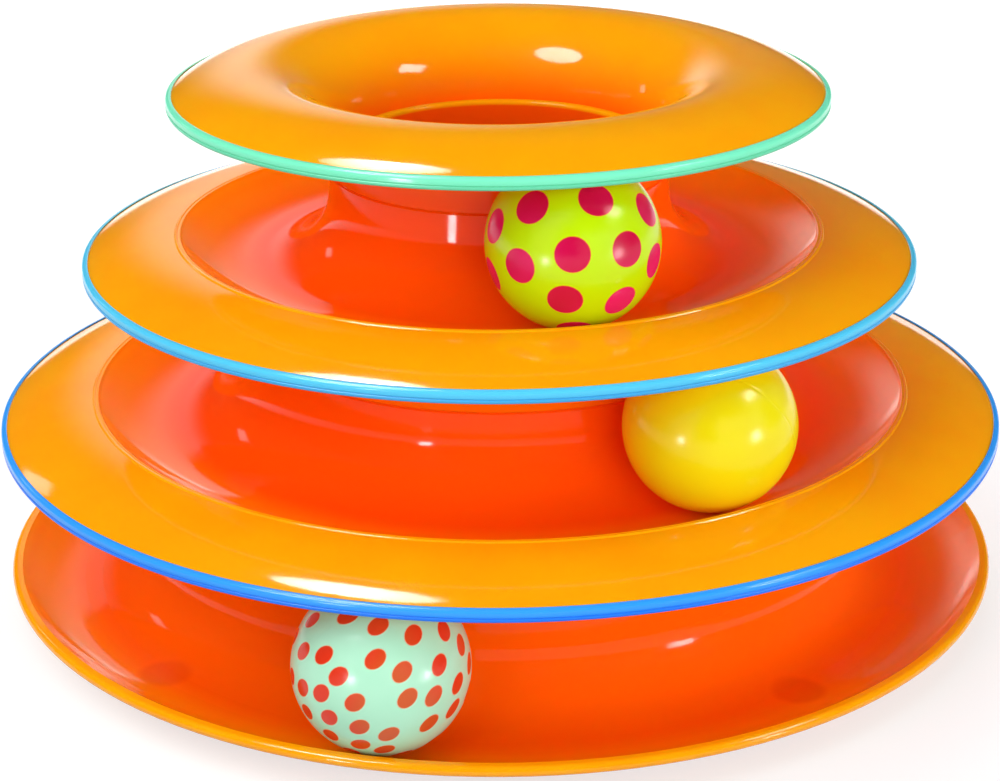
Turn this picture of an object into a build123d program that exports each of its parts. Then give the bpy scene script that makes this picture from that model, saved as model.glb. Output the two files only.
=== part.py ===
from build123d import *
from math import cos, radians, sin, sqrt, tan
import os

# A three-level track toy for cats: four stacked rings with three captive balls between them.
# The origin is on the stack's axis at the surface it stands on, +Z is up and the front is towards -Y.
# Sizes are in millimetres and degrees. Azimuths are counted from the front towards +X.

# Balls, each welded from two hollow halves
ball_diameter = 39.5
ball_wall = 1.6
ball_floor_clearance = 0.3
ball_neck_clearance = 0.4
base_neck_clearance = 0.9
ball_headroom = 0.5
weld_lap = 1.6
weld_clearance = 0.05

# Where each ball lies on its track, and which way the axis of its weld seam points
base_ball_azimuth = -14.3
base_seam_tilt = 70.0
base_seam_azimuth = 200.0
lower_ball_azimuth = 34.3
lower_seam_tilt = 60.4
lower_seam_azimuth = 156.4
upper_ball_azimuth = 15.5
upper_seam_tilt = 35.0
upper_seam_azimuth = 170.0

# Wall of all four rings
wall = 2.4

# Necks, and the spigot joint between one ring and the next
top_neck_radius = 41.2
neck_height = 20.8
base_neck_height = 23.0
neck_draft = 4.0
neck_fillet = 16.0
spigot_height = 6.5
spigot_clearance = 0.25
spigot_lead = 0.6
spigot_round = 0.8
seam_chamfer = 0.35
collar_overhang = 1.9

# Ball groove, and the ridge along its outer edge
groove_play = 5.4
base_groove_play = 2.2
groove_half_width = 16.2
ridge_width = 1.8
ridge_rise = 0.5
ridge_step = 0.35

# Domed flanges
flange_width = 21.1
flange_drop = 5.15
top_flange_width = 18.4
top_flange_drop = 5.8

# Funnel and collar of the top ring
funnel_radius = 21.2
top_headroom = 4.4

# Rolled lip of the base
base_lip_rise = 6.1
base_lip_width = 1.2
base_lip_thickness = 2.6

# Edging pressed onto the flange rims
trim_depth = 1.4
trim_height = 3.0
trim_proud = 0.25
trim_round = 0.75
trim_crown_turn = 32.0
trim_lower_bead = 1.0
trim_lower_round = 0.5
trim_groove = 0.22
trim_clearance = 0.05
tongue_length = 0.7
tongue_thickness = 1.2

# Rubber feet in their seats under the base
foot_diameter = 12.0
foot_height = 1.8
foot_chamfer = 0.5
foot_count = 4
foot_azimuth = 41.0
foot_seat_clearance = 0.2
foot_seat_wall = 1.8
foot_seat_depth = 0.8

# Sizes that follow from the ones above
quarter_turn = 90.0
ball_radius = ball_diameter / 2
ball_height = ball_radius + ball_floor_clearance
collar_height = ball_diameter + ball_headroom - neck_height
neck_flare = tan(radians(neck_draft))
path_offset = (neck_height - ball_height) * neck_flare + ball_radius + ball_neck_clearance
base_path_offset = (base_neck_height - ball_height) * neck_flare + ball_radius + base_neck_clearance
neck_step = path_offset + collar_overhang
groove_radius = ball_radius + groove_play
base_groove_radius = ball_radius + base_groove_play
groove_rise = groove_radius - sqrt(groove_radius**2 - groove_half_width**2)
spigot_offset = -(wall + spigot_clearance)
bore_offset = spigot_offset - wall
rim_middle_drop = trim_height / 2 - trim_proud

upper_neck_radius = top_neck_radius
lower_neck_radius = upper_neck_radius + neck_step
base_neck_radius = lower_neck_radius + neck_step
base_floor = foot_height + wall
lower_floor = base_floor + base_neck_height + collar_height
upper_floor = lower_floor + neck_height + collar_height
top_seam = upper_floor + neck_height
top_collar_height = ball_height + ball_radius + top_headroom - neck_height - (funnel_radius - wall)


class Outline:
    """A section in the plane of radius and height, drawn edge by edge and then turned about Z."""

    def __init__(self, start):
        self.start = start
        self.end = start
        self.edges = []

    def line(self, *points):
        for point in points:
            self.edges.append(Line(self.end, point))
            self.end = point

    def bend(self, middle, end):
        """An arc through a middle point."""
        self.edges.append(ThreePointArc(self.end, middle, end))
        self.end = end

    def arc(self, centre, end):
        """The shorter arc about a centre."""
        spoke = self.end - centre
        halfway = (spoke + (end - centre)).normalized()
        self.bend(centre + halfway * spoke.length, end)

    def turned(self):
        self.line(self.start)
        return revolve(Plane.XZ * make_face(self.edges), Axis.Z)


class NeckForm:
    """The places that the neck, floor and ball groove of a ring are drawn through."""

    def __init__(self, neck_radius, floor, height, path_out, groove):
        self.neck_radius = neck_radius
        self.floor = floor
        self.height = height
        self.path_out = path_out
        lean = radians(neck_draft)
        touch_height = neck_fillet * (1 - sin(lean))
        touch_out = (height - touch_height) * neck_flare
        self.fillet_out = touch_out + neck_fillet * cos(lean)
        self.fillet_centre = self.at(self.fillet_out, neck_fillet)
        self.touch = self.at(touch_out, touch_height)
        self.inner_touch = self.touch - Vector(cos(lean), sin(lean)) * wall
        self.ledge = self.at(wall * neck_flare - wall / cos(lean), height - wall)
        self.bore_ledge = self.at(bore_offset, height - wall)
        self.groove_centre = self.at(path_out, groove)

    def at(self, out, up):
        """A point this far outside the neck's seam and above the track floor."""
        return Vector(self.neck_radius + out, self.floor + up)

    def outside(self):
        """A new outline, from the spigot's bore over the shoulder and down to the ball path."""
        spigot_top = self.height + spigot_height
        outline = Outline(self.at(bore_offset, spigot_top - spigot_round))
        round_centre = self.at(bore_offset + spigot_round, spigot_top - spigot_round)
        outline.arc(round_centre, self.at(bore_offset + spigot_round, spigot_top))
        outline.line(
            self.at(spigot_offset - spigot_lead, spigot_top),
            self.at(spigot_offset, spigot_top - spigot_lead),
            self.at(spigot_offset, self.height),
            self.at(-seam_chamfer, self.height),
            self.at(seam_chamfer * neck_flare, self.height - seam_chamfer),
            self.touch,
        )
        outline.arc(self.fillet_centre, self.at(self.fillet_out, 0))
        outline.line(self.at(self.path_out, 0))
        return outline

    def inside(self, outline):
        """The hollow side, from under the floor back up to the spigot's bore."""
        outline.line(self.at(self.fillet_out, -wall))
        outline.arc(self.fillet_centre, self.inner_touch)
        outline.line(self.ledge, self.bore_ledge)


def upper_crossing(centre, radius, other_centre, other_radius):
    """The higher of the two points where two circles cross."""
    gap = other_centre - centre
    along = (gap.length**2 + radius**2 - other_radius**2) / (2 * gap.length)
    across = sqrt(radius**2 - along**2)
    step = gap.normalized()
    foot = centre + step * along
    side = Vector(-step.Y, step.X) * across
    return max(foot + side, foot - side, key=lambda point: point.Y)


def dome_radius(width, drop):
    """The radius of a dome that is level at its top and falls by the drop over the width."""
    return (width**2 + drop**2) / (2 * drop)


def draw_rim(outline, edge):
    """The thin tongue on a flange's edge that the edging grips, from the flange's top corner."""
    middle = edge.Y - rim_middle_drop
    top = middle + tongue_thickness / 2
    bottom = middle - tongue_thickness / 2
    end = edge.X + tongue_length
    outline.line(Vector(edge.X, top), Vector(end, top), Vector(end, bottom), Vector(edge.X, bottom))


def track_flange_edge(neck_radius, floor):
    """The top corner of a track's flange, where its edging begins."""
    out = path_offset + groove_half_width + ridge_width + flange_width
    up = groove_rise + ridge_rise - ridge_step - flange_drop
    return Vector(neck_radius + out, floor + up)


def track_ring(neck_radius, floor):
    form = NeckForm(neck_radius, floor, neck_height, path_offset, groove_radius)
    groove_end = form.at(path_offset + groove_half_width, groove_rise)
    ridge_top = groove_end + Vector(ridge_width / 2, ridge_rise)
    flange_start = groove_end + Vector(ridge_width, ridge_rise - ridge_step)
    flange_edge = track_flange_edge(neck_radius, floor)
    flange_radius = dome_radius(flange_width, flange_drop)
    flange_centre = flange_start - Vector(0, flange_radius)
    under_radius = flange_radius - wall
    under_edge = flange_centre + (flange_edge - flange_centre).normalized() * under_radius
    under_groove = groove_radius + wall
    under_peak = upper_crossing(form.groove_centre, under_groove, flange_centre, under_radius)
    collar_out = path_offset + collar_overhang
    collar_top = groove_radius - sqrt(under_groove**2 - collar_overhang**2)
    collar_foot = -collar_height

    outline = form.outside()
    outline.arc(form.groove_centre, groove_end)
    outline.bend(ridge_top, flange_start)
    outline.arc(flange_centre, flange_edge)
    draw_rim(outline, flange_edge)
    outline.line(under_edge)
    outline.arc(flange_centre, under_peak)
    outline.arc(form.groove_centre, form.at(collar_out, collar_top))
    outline.line(
        form.at(collar_out, collar_foot + seam_chamfer),
        form.at(collar_out - seam_chamfer, collar_foot),
        form.at(collar_out - wall, collar_foot),
        form.at(collar_out - wall, -wall),
    )
    form.inside(outline)
    return outline.turned()


def on_circle(radius, azimuth, height):
    """A place at this azimuth, counted from the front towards +X."""
    angle = radians(azimuth)
    return Pos(radius * sin(angle), -radius * cos(angle), height)


def base_form():
    return NeckForm(base_neck_radius, base_floor, base_neck_height, base_path_offset, base_groove_radius)


def foot_places(height):
    radius = base_neck_radius + (base_form().fillet_out + base_path_offset) / 2
    spacing = 4 * quarter_turn / foot_count
    return [on_circle(radius, foot_azimuth + spacing * number, height) for number in range(foot_count)]


def base_ring():
    form = base_form()
    lip_radius = base_lip_thickness / 2
    lip_bottom = base_lip_rise - base_lip_thickness
    lip_start = base_path_offset + sqrt(base_groove_radius**2 - (base_groove_radius - base_lip_rise)**2)
    lip_end = lip_start + base_lip_width
    under_groove = base_groove_radius + wall
    under_end = base_path_offset + sqrt(under_groove**2 - (base_groove_radius - lip_bottom)**2)

    outline = form.outside()
    outline.arc(form.groove_centre, form.at(lip_start, base_lip_rise))
    outline.line(form.at(lip_end, base_lip_rise))
    outline.bend(form.at(lip_end + lip_radius, base_lip_rise - lip_radius), form.at(lip_end, lip_bottom))
    outline.line(form.at(under_end, lip_bottom))
    outline.arc(form.groove_centre, form.at(base_path_offset, -wall))
    form.inside(outline)
    ring = outline.turned()

    pocket_radius = foot_diameter / 2 + foot_seat_clearance
    seat_foot = foot_height - foot_seat_depth
    seat_height = base_floor - wall / 4 - seat_foot
    upwards = (Align.CENTER, Align.CENTER, Align.MIN)
    for place in foot_places(seat_foot):
        ring += place * Cylinder(pocket_radius + foot_seat_wall, seat_height, align=upwards)
    for place in foot_places(seat_foot):
        ring -= place * Cylinder(pocket_radius, foot_seat_depth, align=upwards)
    return ring


def top_flange_edge():
    """The top corner of the top ring's flange, where its edging begins."""
    crest_radius = top_neck_radius - wall + funnel_radius
    crest_height = top_seam + top_collar_height + funnel_radius
    return Vector(crest_radius + top_flange_width, crest_height - top_flange_drop)


def top_ring():
    bore = top_neck_radius - wall
    funnel_foot = top_seam + top_collar_height
    funnel_centre = Vector(bore + funnel_radius, funnel_foot)
    crest = funnel_centre + Vector(0, funnel_radius)
    flange_edge = top_flange_edge()
    flange_radius = dome_radius(top_flange_width, top_flange_drop)
    flange_centre = crest - Vector(0, flange_radius)
    under_edge = flange_centre + (flange_edge - flange_centre).normalized() * (flange_radius - wall)

    outline = Outline(Vector(bore, top_seam))
    outline.line(Vector(bore, funnel_foot))
    outline.arc(funnel_centre, crest)
    outline.arc(flange_centre, flange_edge)
    draw_rim(outline, flange_edge)
    outline.line(under_edge)
    outline.arc(flange_centre, crest - Vector(0, wall))
    outline.arc(funnel_centre, Vector(top_neck_radius, funnel_foot))
    outline.line(
        Vector(top_neck_radius, top_seam + seam_chamfer),
        Vector(top_neck_radius - seam_chamfer, top_seam),
    )
    return outline.turned()


def rim_trim(edge):
    """Edging round a flange: a crowned bead over a small one, and a slot for the flange's tongue."""
    middle = edge.Y - rim_middle_drop
    top = middle + trim_height / 2
    bottom = middle - trim_height / 2
    inner = edge.X + trim_clearance
    outer = edge.X + trim_depth
    slot_end = edge.X + tongue_length + trim_clearance
    slot_half = tongue_thickness / 2 + trim_clearance
    line_height = bottom + trim_lower_bead
    crown_turn = radians(trim_crown_turn)
    crown_lean = Vector(sin(crown_turn), cos(crown_turn))
    crown_step = (outer - trim_round - inner) / sin(crown_turn)
    crown = Vector(inner, top - trim_round - crown_step)
    shoulder = crown + crown_lean * crown_step
    lower_centre = Vector(outer - trim_lower_round, bottom + trim_lower_round)

    outline = Outline(Vector(inner, top))
    outline.arc(crown, shoulder + crown_lean * trim_round)
    outline.arc(shoulder, Vector(outer, shoulder.Y))
    outline.line(
        Vector(outer, line_height + trim_groove),
        Vector(outer - trim_groove, line_height),
        Vector(outer, line_height - trim_groove),
        Vector(outer, lower_centre.Y),
    )
    outline.arc(lower_centre, Vector(lower_centre.X, bottom))
    outline.line(
        Vector(inner, bottom),
        Vector(inner, middle - slot_half),
        Vector(slot_end, middle - slot_half),
        Vector(slot_end, middle + slot_half),
        Vector(inner, middle + slot_half),
    )
    return outline.turned()


def ball_halves():
    """Both halves about the ball's own centre: the first has a tongue that laps into the second."""
    inner = ball_radius - ball_wall
    tongue = inner + ball_wall / 2
    rebate = tongue + weld_clearance
    rebate_depth = weld_lap + weld_clearance
    rebate_inner = sqrt(inner**2 - rebate_depth**2)
    centre = Vector(0, 0)

    first = Outline(Vector(ball_radius, 0))
    first.arc(centre, Vector(0, ball_radius))
    first.line(Vector(0, inner))
    first.arc(centre, Vector(inner, 0))
    first.line(Vector(inner, -weld_lap), Vector(tongue, -weld_lap), Vector(tongue, 0))

    second = Outline(Vector(ball_radius, 0))
    second.arc(centre, Vector(0, -ball_radius))
    second.line(Vector(0, -inner))
    second.arc(centre, Vector(rebate_inner, -rebate_depth))
    second.line(Vector(rebate, -rebate_depth), Vector(rebate, 0))
    return first.turned(), second.turned()


def placed_ball(path_radius, floor, azimuth, seam_tilt, seam_azimuth):
    centre = on_circle(path_radius, azimuth, floor + ball_height)
    turn = Rot(0, 0, seam_azimuth - quarter_turn) * Rot(0, seam_tilt, 0)
    return [centre * turn * half for half in ball_halves()]


def foot():
    radius = foot_diameter / 2
    outline = Outline(Vector(0, 0))
    outline.line(
        Vector(radius - foot_chamfer, 0),
        Vector(radius, foot_chamfer),
        Vector(radius, foot_height),
        Vector(0, foot_height),
    )
    return outline.turned()


def all_pieces():
    lower_edge = track_flange_edge(lower_neck_radius, lower_floor)
    upper_edge = track_flange_edge(upper_neck_radius, upper_floor)
    pieces = {
        "base_track": base_ring(),
        "lower_track": track_ring(lower_neck_radius, lower_floor),
        "upper_track": track_ring(upper_neck_radius, upper_floor),
        "top_ring": top_ring(),
        "lower_rim_trim": rim_trim(lower_edge),
        "upper_rim_trim": rim_trim(upper_edge),
        "top_rim_trim": rim_trim(top_flange_edge()),
    }
    base_lie = (base_ball_azimuth, base_seam_tilt, base_seam_azimuth)
    lower_lie = (lower_ball_azimuth, lower_seam_tilt, lower_seam_azimuth)
    upper_lie = (upper_ball_azimuth, upper_seam_tilt, upper_seam_azimuth)
    balls = {
        "base_ball": placed_ball(base_neck_radius + base_path_offset, base_floor, *base_lie),
        "lower_ball": placed_ball(lower_neck_radius + path_offset, lower_floor, *lower_lie),
        "upper_ball": placed_ball(upper_neck_radius + path_offset, upper_floor, *upper_lie),
    }
    for name, halves in balls.items():
        for half, letter in zip(halves, "ab"):
            pieces[f"{name}_half_{letter}"] = half
    for number, place in enumerate(foot_places(0), start=1):
        pieces[f"foot_{number}"] = place * foot()
    return pieces


os.makedirs("parts", exist_ok=True)
for node, piece in all_pieces().items():
    export_step(piece, f"parts/{node}.step")
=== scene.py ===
from math import asin, atan2, cos, degrees, pi, radians, sin, sqrt, tan

import bpy
from mathutils import Matrix, Quaternion, Vector


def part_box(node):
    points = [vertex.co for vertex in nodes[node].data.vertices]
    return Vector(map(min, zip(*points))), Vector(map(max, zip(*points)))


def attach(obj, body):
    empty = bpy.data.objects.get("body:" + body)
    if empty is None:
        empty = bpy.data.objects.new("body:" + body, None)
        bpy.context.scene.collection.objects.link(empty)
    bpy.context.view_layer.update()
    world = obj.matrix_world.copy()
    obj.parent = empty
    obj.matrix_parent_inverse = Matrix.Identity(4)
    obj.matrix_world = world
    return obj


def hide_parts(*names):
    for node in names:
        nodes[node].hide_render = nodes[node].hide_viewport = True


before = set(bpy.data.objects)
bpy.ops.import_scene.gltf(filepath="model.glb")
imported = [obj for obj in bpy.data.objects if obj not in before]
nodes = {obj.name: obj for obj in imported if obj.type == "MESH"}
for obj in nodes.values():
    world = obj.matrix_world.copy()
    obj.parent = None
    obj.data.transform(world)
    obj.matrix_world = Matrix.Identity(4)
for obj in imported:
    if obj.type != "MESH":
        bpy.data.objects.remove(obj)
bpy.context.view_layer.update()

# A track toy for cats: four stacked orange rings with coloured edging and three captive balls.
# The frame is the CAD model's: metres, origin on the axis at the floor, +Z up, the front towards -Y.
# Azimuths are counted from the front towards +X, and elevations upwards, both in degrees.

mm = 0.001

# Camera, fitted to the rim ellipses of the photograph
image_width = 1000
focal_pixels = 2528.0
sensor_width = 36.0
camera_distance = 0.59442
camera_height = 0.2801
camera_pitch = 21.323
camera_roll = -0.330
camera_near = 0.01
camera_far = 50.0

# Rings: sizes of their sections, as in the CAD model
ring_turns = 480
wall = 2.4 * mm
neck_height = 20.8 * mm
neck_lean = 4.0
neck_fillet = 16.0 * mm
fillet_out = 16.37 * mm
spigot_height = 6.5 * mm
spigot_inset = 2.65 * mm
spigot_lead = 0.6 * mm
spigot_round = 0.8 * mm
seam_chamfer = 0.35 * mm
path_offset = 20.2 * mm
collar_overhang = 1.9 * mm
groove_radius = 25.15 * mm
groove_half_width = 16.2 * mm
ridge_width = 1.8 * mm
ridge_step = 0.15 * mm
ridge_crown = 0.42 * mm
ridge_fullness_share = 0.3
ridge_steps = 18
tongue_length = 0.7 * mm
flange_width = 21.1 * mm
flange_drop = 5.15 * mm
top_flange_width = 18.4 * mm
top_flange_drop = 5.8 * mm
funnel_radius = 21.2 * mm
sharp_angle = 24.0

# Edging
trim_turns = 720
trim_depth = 1.35 * mm
trim_crown_turn = 32.0
trim_round = 0.75 * mm
trim_lower_round = 0.5 * mm
trim_lower_bead = 1.0 * mm
trim_groove = 0.22 * mm

# Balls
ball_rows = 150
ball_turns = 300
seam_depth = 0.03 * mm
yellow_seam_depth = 0.10 * mm
seam_width = 0.28 * mm
lime_seam_axis = (170, 55)
yellow_seam_axis = (156.4, 29.6)
mint_seam_axis = (200, 20)
lime_spot_radius = 3.85 * mm
mint_spot_half_length = 2.45 * mm
mint_spot_half_width = 1.8 * mm
mint_spot_lean = 42.0

# Where the spots show on the balls, as azimuth and elevation from the ball's centre
lime_places = [
    (-69, 18), (-37, 38), (19, 45), (68, 29), (-38, -1),
    (-2, 10), (36, 10), (65, -5), (-7, -22), (35, -27),
]
mint_places = [
    (-75, 41), (-35, 56), (1, 52), (32, 43), (63, 37), (74, 22), (80, 6), (-90, 21), (-63, 23), (-41, 28),
    (-1, 31), (17, 22), (45, 20), (-26, 18), (-75, 0), (-56, 1), (-38, 4), (-14, 3), (19, 5), (37, 2),
    (59, 2), (56, -15), (-56, -17), (-33, -12), (-12, -15), (7, -21), (35, -18), (-38, -30), (-14, -33),
    (4, -39),
]


def direction(azimuth, elevation):
    """The unit vector at this azimuth and elevation."""
    a = radians(azimuth)
    e = radians(elevation)
    return Vector((sin(a) * cos(e), -cos(a) * cos(e), sin(e)))


def srgb(red, green, blue):
    """A colour as it shows on screen, 0 to 255, turned into the linear values that shaders take."""
    def linear(value):
        share = value / 255
        return share / 12.92 if share <= 0.04045 else ((share + 0.055) / 1.055) ** 2.4
    return (linear(red), linear(green), linear(blue), 1.0)


# Materials

flange_orange = srgb(254, 168, 6)
# Painted shade: redder oranges for the channels, necks, funnel and base, inside where shade falls; the
# deepest one also colours the flow pattern
channel_shade_orange = srgb(254, 152, 6)
funnel_shade_orange = srgb(252, 92, 5)
flow_and_shade_orange = srgb(251, 86, 4)
base_shade_orange = srgb(252, 98, 4)
foot_shade = srgb(205, 62, 4)
dark_rubber = srgb(38, 36, 35)
worn_rubber = srgb(58, 55, 52)
floor_grey = srgb(168, 168, 168)
floor_pale_grey = srgb(172, 172, 172)
white = (1, 1, 1, 1)

# Specular levels, and the middle range of a texture that roughness follows
open_gloss = 0.30
sheltered_gloss = 0.14
texture_low = 0.3
texture_high = 0.7


class Finish:
    """A material, with short calls for the nodes that build it up."""

    def __init__(self, name, roughness, specular=open_gloss):
        self.material = bpy.data.materials.new(name)
        self.material.use_nodes = True
        self.tree = self.material.node_tree
        self.shader = self.tree.nodes["Principled BSDF"]
        self.shader.inputs["Roughness"].default_value = roughness
        self.shader.inputs["Specular IOR Level"].default_value = specular
        self.place = self.node("ShaderNodeTexCoord").outputs["Object"]

    def node(self, kind, **settings):
        made = self.tree.nodes.new(kind)
        for key, value in settings.items():
            setattr(made, key, value)
        return made

    def feed(self, socket, value):
        """Links an output to a socket, or sets the socket to a plain value."""
        if isinstance(value, bpy.types.NodeSocket):
            self.tree.links.new(value, socket)
        else:
            socket.default_value = value

    def math(self, operation, first, second):
        made = self.node("ShaderNodeMath", operation=operation)
        self.feed(made.inputs[0], first)
        self.feed(made.inputs[1], second)
        return made.outputs[0]

    def vector_math(self, operation, first, second):
        made = self.node("ShaderNodeVectorMath", operation=operation)
        self.feed(made.inputs[0], first)
        self.feed(made.inputs[1], second)
        return made.outputs["Value" if operation == "DISTANCE" else "Vector"]

    def height(self):
        """How high a point lies."""
        made = self.node("ShaderNodeSeparateXYZ")
        self.feed(made.inputs[0], self.place)
        return made.outputs["Z"]

    def reach(self, x=0, y=0):
        """How far a point lies from the toy's axis, or from an upright line elsewhere."""
        flat = self.vector_math("MULTIPLY", self.place, (1, 1, 0))
        return self.vector_math("DISTANCE", flat, (x, y, 0))

    def step(self, value, off, on):
        """A smooth ramp from 0, where the value is at off, to 1, where it is at on."""
        made = self.node("ShaderNodeMapRange", interpolation_type="SMOOTHSTEP")
        rising = on > off
        self.feed(made.inputs["Value"], value)
        made.inputs["From Min"].default_value = min(off, on)
        made.inputs["From Max"].default_value = max(off, on)
        made.inputs["To Min"].default_value = 0.0 if rising else 1.0
        made.inputs["To Max"].default_value = 1.0 if rising else 0.0
        return made.outputs["Result"]

    def mix(self, share, first, second):
        made = self.node("ShaderNodeMix", data_type="RGBA")
        self.feed(made.inputs["Factor"], share)
        self.feed(made.inputs[6], first)
        self.feed(made.inputs[7], second)
        return made.outputs[2]

    def noise(self, scale, detail):
        made = self.node("ShaderNodeTexNoise")
        self.feed(made.inputs["Vector"], self.place)
        made.inputs["Scale"].default_value = scale
        made.inputs["Detail"].default_value = detail
        return made.outputs["Fac"]

    def bump(self, height, strength, distance):
        made = self.node("ShaderNodeBump")
        made.inputs["Strength"].default_value = strength
        made.inputs["Distance"].default_value = distance
        self.feed(made.inputs["Height"], height)
        self.feed(self.shader.inputs["Normal"], made.outputs["Normal"])

    def colour(self, value):
        self.feed(self.shader.inputs["Base Color"], value)

    def roughness(self, texture, low, high):
        """Roughness that wanders between two values with a texture."""
        made = self.node("ShaderNodeMapRange")
        self.feed(made.inputs["Value"], texture)
        made.inputs["From Min"].default_value = texture_low
        made.inputs["From Max"].default_value = texture_high
        made.inputs["To Min"].default_value = low
        made.inputs["To Max"].default_value = high
        self.feed(self.shader.inputs["Roughness"], made.outputs["Result"])


def orange_plastic(name, tint):
    """Glossy moulded plastic, with a faint flow pattern and fine scuffs, and painted shade: a redder orange
    where it is sheltered, with less gloss there.
    """
    flow_share = 0.12
    finish = Finish(name, roughness=0.08)
    # The tint gives a colour with painted shade in it, and the share of shelter that lowers the gloss
    base, shelter = tint(finish)
    flow = finish.step(finish.noise(scale=38, detail=2.0), off=0.30, on=0.75)
    finish.colour(finish.mix(finish.math("MULTIPLY", flow, flow_share), base, flow_and_shade_orange))
    gloss_loss = finish.math("MULTIPLY", shelter, open_gloss - sheltered_gloss)
    gloss = finish.math("SUBTRACT", open_gloss, gloss_loss)
    finish.feed(finish.shader.inputs["Specular IOR Level"], gloss)
    finish.roughness(finish.noise(scale=160, detail=4.0), low=0.05, high=0.10)
    finish.bump(finish.noise(scale=900, detail=2.0), strength=0.015, distance=0.2 * mm)
    finish.shader.inputs["Subsurface Weight"].default_value = 0.25
    finish.shader.inputs["Subsurface Radius"].default_value = (1.0, 0.22, 0.02)
    finish.shader.inputs["Subsurface Scale"].default_value = 3.0 * mm
    return finish.material


def track_tint(ridge_radius, spigot_top):
    """Flange colour outside the ridge, painted shade in a deeper orange towards the neck, and painted light
    on the spigot's thin rim, which keeps the flange's amber.
    """
    def tint(finish):
        radius = finish.reach()
        # Painted shade: inside the ridge the orange turns to the channel's redder tone and deepens towards
        # the neck
        channel = finish.step(radius, off=ridge_radius + 0.6 * mm, on=ridge_radius - 4 * mm)
        depth = finish.step(radius, off=ridge_radius - 3 * mm, on=ridge_radius - 23 * mm)
        # Painted light: the spigot's thin rim keeps the flange's amber, as where it is lit
        rim = finish.step(finish.height(), off=spigot_top - 1.4 * mm, on=spigot_top - 0.6 * mm)
        painted_shade = finish.mix(depth, channel_shade_orange, flow_and_shade_orange)
        painted_shade = finish.mix(rim, painted_shade, flange_orange)
        return finish.mix(channel, flange_orange, painted_shade), depth
    return tint


def base_tint(lip_radius, foot_places):
    """Flange colour on the lip, painted shade in a deeper orange towards the neck, and darker patches over
    the feet.
    """
    patch_share = 0.35

    def tint(finish):
        radius = finish.reach()
        # Painted shade: inside the lip the orange turns redder and deepens towards the neck
        channel = finish.step(radius, off=lip_radius - 2 * mm, on=lip_radius - 5 * mm)
        depth = finish.step(radius, off=lip_radius - 5 * mm, on=lip_radius - 22 * mm)
        painted_shade = finish.mix(depth, channel_shade_orange, base_shade_orange)
        shaded = finish.mix(channel, flange_orange, painted_shade)
        for foot in foot_places:
            patch = finish.step(finish.reach(foot.x, foot.y), off=7.5 * mm, on=4.5 * mm)
            shaded = finish.mix(finish.math("MULTIPLY", patch, patch_share), shaded, foot_shade)
        return shaded, depth
    return tint


def funnel_tint(crest_height, crest_radius):
    """Flange colour outside the crest, and painted shade in a deeper orange down the funnel."""
    def tint(finish):
        # Painted shade: the orange deepens down the funnel
        inside = finish.step(finish.reach(), off=crest_radius - 1 * mm, on=crest_radius - 6 * mm)
        depth = finish.step(finish.height(), off=crest_height - 3 * mm, on=crest_height - 25 * mm)
        painted_shade = finish.mix(depth, flange_orange, funnel_shade_orange)
        return finish.mix(inside, flange_orange, painted_shade), depth
    return tint


def edging(node, colour, shade):
    """Glossy coloured edging with a lighter crown and, as painted shade, a deeper colour down the lower bead,
    which is also duller.
    """
    shade_share = 0.85
    wander_share = 0.12
    dulling_share = 0.1
    low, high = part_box(node)
    middle = (low.z + high.z) / 2
    finish = Finish(f"{node}_plastic", roughness=0.26)
    # Painted shade: the colour deepens from the middle down to the bottom of the edging, where less light
    # falls; the same share dulls it
    under = finish.step(finish.height(), off=middle + 0.7 * mm, on=low.z + 0.3 * mm)
    wander = finish.math("MULTIPLY", finish.noise(scale=45, detail=2.0), wander_share)
    painted_shade_and_wander = finish.math("ADD", finish.math("MULTIPLY", under, shade_share), wander)
    finish.colour(finish.mix(painted_shade_and_wander, colour, shade))
    scuffs = finish.math("MULTIPLY", finish.noise(scale=120, detail=2.0), dulling_share)
    finish.roughness(finish.math("ADD", under, scuffs), low=0.14, high=0.36)
    finish.bump(finish.noise(scale=900, detail=2.0), strength=0.01, distance=0.1 * mm)
    return finish.material


def ball_paint(name, colour, shade, spot=None, second_spot=None, spot_edge=None):
    """Glossy painted plastic. Spots follow the mesh's own distance, in mm, to the nearest spot's edge."""
    wander_share = 0.25
    noise_middle = 0.5
    ragged_share = 0.10
    finish = Finish(name, roughness=0.22)
    wander = finish.step(finish.noise(scale=90, detail=3.0), off=0.35, on=0.7)
    base = finish.mix(finish.math("MULTIPLY", wander, wander_share), colour, shade)
    if spot is not None:
        distance = finish.node("ShaderNodeAttribute", attribute_name="spot_distance").outputs["Fac"]
        grain = finish.math("SUBTRACT", finish.noise(scale=1500, detail=2.0), noise_middle)
        edge = finish.math("ADD", distance, finish.math("MULTIPLY", grain, ragged_share))
        rim = finish.step(edge, off=0.30, on=0.02)
        print_share = finish.step(edge, off=0.10, on=-0.06)
        # Spots change at random, over wide patches, to a second colour
        spot_patches = finish.step(finish.noise(scale=34, detail=1.0), off=0.42, on=0.66)
        base = finish.mix(rim, base, spot_edge)
        base = finish.mix(print_share, base, finish.mix(spot_patches, spot, second_spot))
    finish.colour(base)
    finish.roughness(finish.noise(scale=260, detail=4.0), low=0.17, high=0.27)
    finish.bump(finish.noise(scale=520, detail=3.0), strength=0.04, distance=0.2 * mm)
    return finish.material


def rubber(name):
    """Dull dark rubber with a fine grain."""
    finish = Finish(name, roughness=0.7)
    grain = finish.step(finish.noise(scale=1400, detail=4.0), off=0.3, on=0.7)
    finish.colour(finish.mix(grain, dark_rubber, worn_rubber))
    finish.roughness(finish.noise(scale=500, detail=3.0), low=0.6, high=0.85)
    finish.bump(finish.noise(scale=1800, detail=3.0), strength=0.2, distance=0.15 * mm)
    return finish.material


def dress(node, material):
    """Gives a CAD node a finish in every slot."""
    mesh = nodes[node].data
    mesh.materials.clear()
    mesh.materials.append(material)


# Meshes

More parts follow.
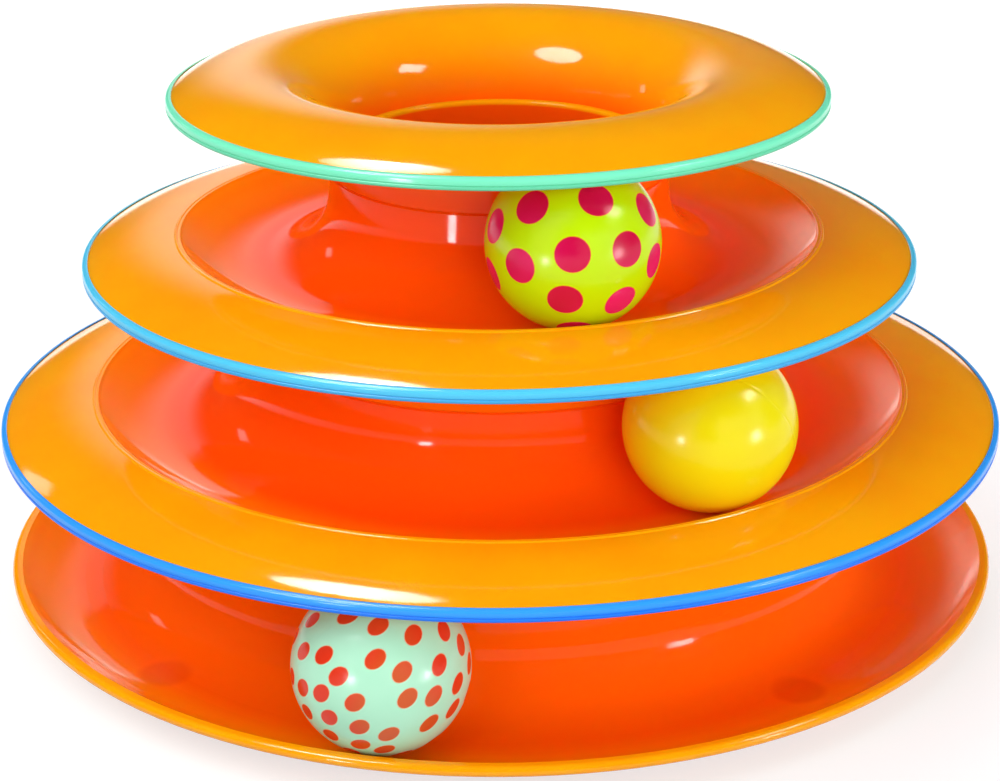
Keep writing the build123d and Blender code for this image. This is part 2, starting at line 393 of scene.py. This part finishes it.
def new_piece(name, vertices, faces, material, body, replaced):
    """A smooth mesh that rides on a body and stands for one or more CAD nodes."""
    mesh = bpy.data.meshes.new(name)
    mesh.from_pydata(vertices, [], faces)
    mesh.polygons.foreach_set("use_smooth", [True] * len(mesh.polygons))
    mesh.set_sharp_from_angle(angle=radians(sharp_angle))
    mesh.update()
    mesh.materials.append(material)
    piece = bpy.data.objects.new(name, mesh)
    bpy.context.scene.collection.objects.link(piece)
    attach(piece, body)
    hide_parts(*replaced)
    return piece


def curve_of(centre, radius, start, stop, steps):
    """Points along an arc in the plane of radius and height, with angles from the outward direction."""
    angles = [radians(start + (stop - start) * step / steps) for step in range(steps + 1)]
    return [(centre[0] + radius * cos(a), centre[1] + radius * sin(a)) for a in angles]


def spun(section, turns):
    """Vertices and faces of a closed section turned about the axis."""
    count = len(section)
    vertices = []
    for turn in range(turns):
        angle = 2 * pi * turn / turns
        vertices += [(r * cos(angle), r * sin(angle), z) for r, z in section]
    faces = []
    for turn in range(turns):
        here = turn * count
        there = (turn + 1) % turns * count
        for k in range(count):
            after = (k + 1) % count
            faces.append((here + k, there + k, there + after, here + after))
    return vertices, faces


def dome_radius(width, drop):
    """The radius of a dome that is level at its top and falls by the drop over the width."""
    return (width * width + drop * drop) / (2 * drop)


def upper_crossing(first, first_radius, second, second_radius):
    """The higher of the two points where two circles cross."""
    gap = Vector(second) - Vector(first)
    along = (gap.length_squared + first_radius ** 2 - second_radius ** 2) / (2 * gap.length)
    across = sqrt(first_radius ** 2 - along ** 2)
    ahead = gap.normalized()
    side = Vector((-ahead.y, ahead.x)) * across
    foot = Vector(first) + ahead * along
    return max(foot + side, foot - side, key=lambda point: point.y)


def turn_of(centre, point):
    """The angle, in degrees, at which a point lies round a centre."""
    return degrees(atan2(point[1] - centre[1], point[0] - centre[0]))


def track(level, material):
    """A track ring in place of its CAD node: spigot, neck, ball groove, ridge, domed flange and collar."""
    node = f"{level}_track"
    low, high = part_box(node)
    floor_height = high.z - neck_height - spigot_height
    edge = high.x - tongue_length
    flange_start = edge - flange_width
    groove_end = flange_start - ridge_width
    path = groove_end - groove_half_width
    neck = path - path_offset
    seam = floor_height + neck_height
    lean = radians(neck_lean)
    spigot = neck - spigot_inset
    bore = spigot - wall
    collar = path + collar_overhang
    ledge = seam - wall
    fillet = (neck + fillet_out, floor_height + neck_fillet)
    groove = (path, floor_height + groove_radius)
    groove_turn = degrees(asin(groove_half_width / groove_radius))
    ridge_foot = groove[1] - groove_radius * cos(radians(groove_turn))
    flange = dome_radius(flange_width, flange_drop)
    flange_middle = (flange_start, ridge_foot + ridge_step - flange)
    flange_turn = degrees(asin(flange_width / flange))
    under_groove = groove_radius + wall
    under_flange = flange - wall
    peak = upper_crossing(groove, under_groove, flange_middle, under_flange)
    flange_peak_turn = turn_of(flange_middle, peak)
    groove_peak_turn = turn_of(groove, peak) + 360
    collar_turn = degrees(asin(collar_overhang / under_groove))

    section = [(bore, ledge)]
    section += curve_of((bore + spigot_round, high.z - spigot_round), spigot_round, 180, 90, steps=6)
    section += [
        (spigot - spigot_lead, high.z),
        (spigot, high.z - spigot_lead),
        (spigot, seam),
        (neck - seam_chamfer, seam),
        (neck, seam - seam_chamfer),
    ]
    section += curve_of(fillet, neck_fillet, 180 + neck_lean, 270, steps=40)
    section += curve_of(groove, groove_radius, 270, 270 + groove_turn, steps=30)
    for step in range(1, ridge_steps):
        share = step / ridge_steps
        crown = sin(pi * share) + ridge_fullness_share * sin(3 * pi * share)
        ridge_height = ridge_foot + ridge_step * share + ridge_crown * crown
        section.append((groove_end + ridge_width * share, ridge_height))
    section += curve_of(flange_middle, flange, 90, 90 - flange_turn, steps=26)
    section += curve_of(flange_middle, under_flange, 90 - flange_turn, flange_peak_turn, steps=20)
    section += curve_of(groove, under_groove, groove_peak_turn, 270 + collar_turn, steps=26)[1:]
    section += [
        (collar, low.z + seam_chamfer),
        (collar - seam_chamfer, low.z),
        (collar - wall, low.z),
        (collar - wall, floor_height - wall),
    ]
    section += curve_of(fillet, neck_fillet + wall, 270, 180 + neck_lean, steps=30)
    section += [(neck + wall * tan(lean) - wall / cos(lean), ledge)]
    section.reverse()
    vertices, faces = spun(section, ring_turns)
    body = f"{level}_level"
    return new_piece(f"{level}_track_ring", vertices, faces, material, body, [node])


def top_ring(material):
    """The top ring in place of its CAD node: a short collar, a funnel and a domed flange."""
    low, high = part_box("top_ring")
    edge = high.x - tongue_length
    crest = edge - top_flange_width
    bore = crest - funnel_radius
    funnel = (crest, high.z - funnel_radius)
    flange = dome_radius(top_flange_width, top_flange_drop)
    flange_middle = (crest, high.z - flange)
    flange_turn = degrees(asin(top_flange_width / flange))
    section = [(bore, low.z)]
    section += curve_of(funnel, funnel_radius, 180, 90, steps=50)
    section += curve_of(flange_middle, flange, 90, 90 - flange_turn, steps=30)[1:]
    section += curve_of(flange_middle, flange - wall, 90 - flange_turn, 90, steps=26)
    section += curve_of(funnel, funnel_radius - wall, 90, 180, steps=40)[1:]
    section += [(bore + wall, low.z + seam_chamfer), (bore + wall - seam_chamfer, low.z)]
    section.reverse()
    vertices, faces = spun(section, ring_turns)
    replaced = ["top_ring"]
    return new_piece("top_funnel_ring", vertices, faces, material, "top_level", replaced)


def rim_trim(node, body, material):
    """Edging in place of its CAD node: a crowned bead over a small one, with a fine line between them."""
    low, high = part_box(node)
    outer = high.x
    inner = outer - trim_depth
    top = high.z
    bottom = low.z
    line_height = bottom + trim_lower_bead
    crown_step = (outer - trim_round - inner) / sin(radians(trim_crown_turn))
    crown = (inner, top - trim_round - crown_step)
    shoulder = (outer - trim_round, crown[1] + crown_step * cos(radians(trim_crown_turn)))
    lower_bead = (outer - trim_lower_round, bottom + trim_lower_round)
    section = curve_of(crown, crown_step + trim_round, 90, 90 - trim_crown_turn, steps=8)
    section += curve_of(shoulder, trim_round, 90 - trim_crown_turn, 0, steps=10)[1:]
    section += [
        (outer, line_height + trim_groove),
        (outer - trim_groove / 2, line_height + trim_groove / 3),
        (outer - trim_groove, line_height),
        (outer - trim_groove / 2, line_height - trim_groove / 3),
        (outer, line_height - trim_groove),
    ]
    section += curve_of(lower_bead, trim_lower_round, 0, -90, steps=8)
    section += [(inner, bottom)]
    section.reverse()
    vertices, faces = spun(section, trim_turns)
    return new_piece(f"{node}_bead", vertices, faces, material, body, [node])


def spiral(count):
    """Directions spread evenly over a ball along a spiral."""
    golden = pi * (3 - sqrt(5))
    found = []
    for k in range(count):
        height = 1 - 2 * (k + 0.5) / count
        flat = sqrt(1 - height * height)
        found.append(Vector((flat * cos(golden * k), flat * sin(golden * k), height)))
    return found


def with_hidden_spots(places, tries, apart):
    """The spots that show, and more over the rest of the ball, at least this many degrees apart."""
    spots = [direction(*place) for place in places]
    for candidate in spiral(tries):
        if all(candidate.angle(spot) > radians(apart) for spot in spots):
            spots.append(candidate)
    return spots


def spot_distance(point, radius, spots, half_length, half_width, lean):
    """Distance in mm from a point on the ball to the nearest spot's edge, negative inside."""
    near_cosine = 0.6
    nearest = radius
    middle = (half_length + half_width) / 2
    for spot in spots:
        if point.dot(spot) < near_cosine:
            continue
        across = Vector((0, 0, 1)).cross(spot).normalized()
        upward = spot.cross(across)
        long_axis = across * cos(radians(lean)) + upward * sin(radians(lean))
        short_axis = upward * cos(radians(lean)) - across * sin(radians(lean))
        along = asin(max(-1, min(1, point.dot(long_axis)))) * radius
        over = asin(max(-1, min(1, point.dot(short_axis)))) * radius
        reach = sqrt((along / half_length) ** 2 + (over / half_width) ** 2) * middle - middle
        nearest = min(nearest, reach)
    return nearest / mm


def ball(name, body, material, seam, depth, spots=None, half_length=0, half_width=0, lean=0):
    """A ball welded from two halves, with a shallow seam round it, in place of its two CAD halves."""
    halves = [f"{body}_half_a", f"{body}_half_b"]
    corners = [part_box(half) for half in halves]
    low = Vector(map(min, *[pair[0] for pair in corners]))
    high = Vector(map(max, *[pair[1] for pair in corners]))
    centre = (low + high) / 2
    radius = (high - low).length / 2 / sqrt(3)
    axis = direction(*seam)
    turn = axis.to_track_quat("Z", "Y").to_matrix()
    points = [axis]
    heights = [radius]
    for row in range(1, ball_rows):
        polar = pi * row / ball_rows
        off_seam = (polar - pi / 2) * radius / seam_width
        reach = radius - depth * max(0.0, 1 - off_seam * off_seam)
        for step in range(ball_turns):
            angle = 2 * pi * step / ball_turns
            points.append(turn @ Vector((sin(polar) * cos(angle), sin(polar) * sin(angle), cos(polar))))
            heights.append(reach)
    points.append(-axis)
    heights.append(radius)
    faces = []
    last = len(points) - 1
    for step in range(ball_turns):
        after = (step + 1) % ball_turns
        faces.append((0, 1 + step, 1 + after))
        end = last - ball_turns
        faces.append((last, end + after, end + step))
        for row in range(ball_rows - 2):
            upper = 1 + row * ball_turns
            lower = upper + ball_turns
            faces.append((upper + step, lower + step, lower + after, upper + after))
    vertices = [centre + point * height for point, height in zip(points, heights)]
    piece = new_piece(name, vertices, faces, material, body, halves)
    if spots:
        values = [spot_distance(point, radius, spots, half_length, half_width, lean) for point in points]
        attribute = piece.data.attributes.new("spot_distance", "FLOAT", "POINT")
        attribute.data.foreach_set("value", values)
    return piece


# Lights, floor and camera

world_strength = 0.03
light_bounces = 24
diffuse_light_bounces = 16
toy_middle = (0, 0, 0.07)

# Soft boxes that light the toy and don't show in its gloss: name, azimuth, elevation, radiance
soft_distance = 1.7
soft_size = (1.0, 0.8)
soft_boxes = (
    ("front_soft", 22, 16, 5.0),
    ("front_left_soft", -38, 18, 2.4),
    ("front_right_soft", 55, 15, 3.2),
    ("left_soft", -105, 30, 3.6),
    ("right_soft", 116, 15, 4.0),
    ("back_soft", 180, 35, 2.4),
)

# Cards that show in the gloss alone: name, place, size, radiance
shine_cards = (
    ("right_shine", (0.77, -0.26, 0.78), (0.30, 0.17), 22),
    ("front_left_shine", (-0.20, -0.36, 0.055), (0.036, 0.036), 60),
    ("front_right_shine", direction(55, 2) * 1.1, (0.17, 0.17), 40),
    ("left_back_shine", (-0.317, 0.22, 0.22), (0.035, 0.05), 3.5),
)

# Cards like those, which fade from their middle: name, azimuth, elevation, distance, size, radiance
glow_cards = (
    ("back_shine", -170.5, 14, 1.2, (0.56, 1.1), 0.9),
    ("back_left_glow", -165, 23, 1.2, (0.50, 0.50), 0.42),
    ("back_low_glow", -174, 6, 1.2, (0.26, 0.20), 1.4),
    ("back_glow", 178, 14, 1.25, (1.0, 0.80), 0.15),
)


def fade_out(light):
    """Lets a soft box fall off smoothly from its middle to its edges."""
    light.use_nodes = True
    tree = light.node_tree
    middle = 0.5
    face = tree.nodes.new("ShaderNodeNewGeometry").outputs["Parametric"]
    parts = tree.nodes.new("ShaderNodeSeparateXYZ")
    tree.links.new(face, parts.inputs[0])
    falls = []
    for letter in ("X", "Y"):
        off = tree.nodes.new("ShaderNodeMath")
        off.operation = "SUBTRACT"
        tree.links.new(parts.outputs[letter], off.inputs[0])
        off.inputs[1].default_value = middle
        reach = tree.nodes.new("ShaderNodeMath")
        reach.operation = "ABSOLUTE"
        tree.links.new(off.outputs[0], reach.inputs[0])
        fall = tree.nodes.new("ShaderNodeMapRange")
        fall.interpolation_type = "SMOOTHSTEP"
        tree.links.new(reach.outputs[0], fall.inputs["Value"])
        fall.inputs["From Max"].default_value = middle
        fall.inputs["To Min"].default_value = 1.0
        fall.inputs["To Max"].default_value = 0.0
        falls.append(fall.outputs["Result"])
    both = tree.nodes.new("ShaderNodeMath")
    both.operation = "MULTIPLY"
    tree.links.new(falls[0], both.inputs[0])
    tree.links.new(falls[1], both.inputs[1])
    tree.links.new(both.outputs[0], tree.nodes["Emission"].inputs["Strength"])


def lamp(name, place, size, radiance, diffuse=True, glossy=True, disc=False, fade=False, aim=toy_middle,
         spread=180, roll=0):
    """A soft box facing its aim, rolled about that line. Its power follows from its size and radiance."""
    width, height = size
    light = bpy.data.lights.new(name, "AREA")
    light.shape = "ELLIPSE" if disc else "RECTANGLE"
    light.size = width
    light.size_y = height
    area = width * height * (pi / 4 if disc else 1)
    light.energy = radiance * pi * area
    light.spread = radians(spread)
    if fade:
        fade_out(light)
    holder = bpy.data.objects.new(name, light)
    holder.location = place
    holder.rotation_mode = "QUATERNION"
    facing = (Vector(aim) - Vector(place)).to_track_quat("-Z", "Y")
    holder.rotation_quaternion = facing @ Quaternion((0, 0, 1), radians(roll))
    holder.visible_camera = False
    holder.visible_diffuse = diffuse
    holder.visible_glossy = glossy
    bpy.context.scene.collection.objects.link(holder)


def light_the_scene():
    """Soft light from all round, cards for the highlights, and a faint even world."""
    lamp("top_soft", place=(-0.65, -0.50, 1.4), size=(1.7, 1.7), radiance=1.95, glossy=False)
    for name, azimuth, elevation, radiance in soft_boxes:
        lamp(name, direction(azimuth, elevation) * soft_distance, soft_size, radiance, glossy=False)
    lamp("backdrop_soft", direction(184, 9) * soft_distance, size=(1.9, 0.5), radiance=7.5, glossy=False)
    lamp("key_shine", place=(-0.114, 0.007, 0.42), size=(0.056, 0.15), radiance=1.0,
         diffuse=False, disc=True, aim=(-0.027, -0.095, 0.088), spread=28, roll=20)
    lamp("funnel_shine", place=(-0.513, -0.319, 1.020), size=(0.46, 0.42), radiance=22,
         diffuse=False, disc=True)
    for name, place, size, radiance in shine_cards:
        lamp(name, place, size, radiance, diffuse=False)
    for name, azimuth, elevation, distance, size, radiance in glow_cards:
        lamp(name, direction(azimuth, elevation) * distance, size, radiance, diffuse=False, fade=True)
    world = bpy.data.worlds.new("studio")
    world.use_nodes = True
    background = world.node_tree.nodes["Background"]
    background.inputs["Color"].default_value = white
    background.inputs["Strength"].default_value = world_strength
    bpy.context.scene.world = world


def floor():
    """A plain pale floor that reads as white where no shadow falls, and stays white far from the lamps."""
    half = 30.0
    near_glow = 0.65
    far_glow = 1.0
    corners = [(-half, -half, 0), (half, -half, 0), (half, half, 0), (-half, half, 0)]
    mesh = bpy.data.meshes.new("floor")
    mesh.from_pydata(corners, [], [(0, 1, 2, 3)])
    finish = Finish("floor_paper", roughness=0.9, specular=0.1)
    finish.colour(finish.mix(finish.noise(scale=6, detail=2.0), floor_grey, floor_pale_grey))
    rays = finish.node("ShaderNodeLightPath").outputs
    seen = finish.math("MAXIMUM", rays["Is Camera Ray"], rays["Is Glossy Ray"])
    seen = finish.math("MAXIMUM", seen, rays["Is Transmission Ray"])
    far = finish.step(finish.reach(), off=0.35, on=0.9)
    glow = finish.math("ADD", finish.math("MULTIPLY", far, far_glow - near_glow), near_glow)
    finish.shader.inputs["Emission Color"].default_value = white
    finish.feed(finish.shader.inputs["Emission Strength"], finish.math("MULTIPLY", seen, glow))
    mesh.materials.append(finish.material)
    made = bpy.data.objects.new("floor", mesh)
    bpy.context.scene.collection.objects.link(made)


def camera():
    """The camera at the photograph's angle."""
    pitch = radians(camera_pitch)
    roll = radians(camera_roll)
    forward = Vector((0, cos(pitch), -sin(pitch)))
    right = Vector((1, 0, 0))
    upward = right.cross(forward)
    across = right * cos(roll) + upward * sin(roll)
    over = upward * cos(roll) - right * sin(roll)
    lens = bpy.data.cameras.new("camera")
    lens.sensor_fit = "HORIZONTAL"
    lens.sensor_width = sensor_width
    lens.lens = sensor_width * focal_pixels / image_width
    lens.clip_start = camera_near
    lens.clip_end = camera_far
    holder = bpy.data.objects.new("camera", lens)
    turn = Matrix((across, over, -forward)).transposed().to_4x4()
    holder.matrix_world = Matrix.Translation((0, -camera_distance, camera_height)) @ turn
    bpy.context.scene.collection.objects.link(holder)
    bpy.context.scene.camera = holder


# The toy

foot_places = []
for number in range(1, 5):
    foot_low, foot_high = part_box(f"foot_{number}")
    foot_places.append((foot_low + foot_high) / 2)
    dress(f"foot_{number}", rubber(f"foot_rubber_{number}"))

base_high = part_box("base_track")[1]
dress("base_track", orange_plastic("orange_base", base_tint(base_high.x, foot_places)))
for level in ("lower", "upper"):
    track_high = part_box(f"{level}_track")[1]
    ridge = track_high.x - tongue_length - flange_width - ridge_width / 2
    track(level, orange_plastic(f"orange_{level}", track_tint(ridge, track_high.z)))
top_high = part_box("top_ring")[1]
top_crest = top_high.x - tongue_length - top_flange_width
top_ring(orange_plastic("orange_top", funnel_tint(top_high.z, top_crest)))

# Edging: level, slot, colour of the crown, painted-shade colour of the lower bead
edgings = (
    ("lower", "blue_trim", srgb(52, 160, 252), srgb(22, 112, 240)),
    ("upper", "light_blue_trim", srgb(84, 204, 244), srgb(58, 160, 224)),
    ("top", "mint_trim", srgb(124, 242, 198), srgb(98, 206, 164)),
)
for level, slot, colour, shade in edgings:
    rim_trim(f"{level}_rim_trim", f"{level}_level", edging(f"{level}_rim_trim", colour, shade))

lime_paint = ball_paint(
    "lime_ball_paint", colour=srgb(192, 232, 3), shade=srgb(206, 222, 3),
    spot=srgb(226, 20, 106), second_spot=srgb(200, 10, 62), spot_edge=srgb(236, 90, 40))
yellow_paint = ball_paint("yellow_ball_paint", colour=srgb(236, 222, 10), shade=srgb(240, 212, 8))
mint_paint = ball_paint(
    "mint_ball_paint", colour=srgb(178, 234, 202), shade=srgb(160, 228, 190),
    spot=srgb(224, 54, 26), second_spot=srgb(206, 88, 40), spot_edge=srgb(232, 150, 100))
lime_spots = with_hidden_spots(lime_places, tries=40, apart=34)
mint_spots = with_hidden_spots(mint_places, tries=110, apart=19)
ball("upper_ball_shell", "upper_ball", lime_paint, lime_seam_axis, seam_depth,
     lime_spots, lime_spot_radius, lime_spot_radius)
ball("lower_ball_shell", "lower_ball", yellow_paint, yellow_seam_axis, yellow_seam_depth)
ball("base_ball_shell", "base_ball", mint_paint, mint_seam_axis, seam_depth,
     mint_spots, mint_spot_half_length, mint_spot_half_width, mint_spot_lean)

light_the_scene()
floor()
camera()
bpy.context.scene.view_settings.view_transform = "Standard"
bpy.context.scene.cycles.max_bounces = light_bounces
bpy.context.scene.cycles.diffuse_bounces = diffuse_light_bounces
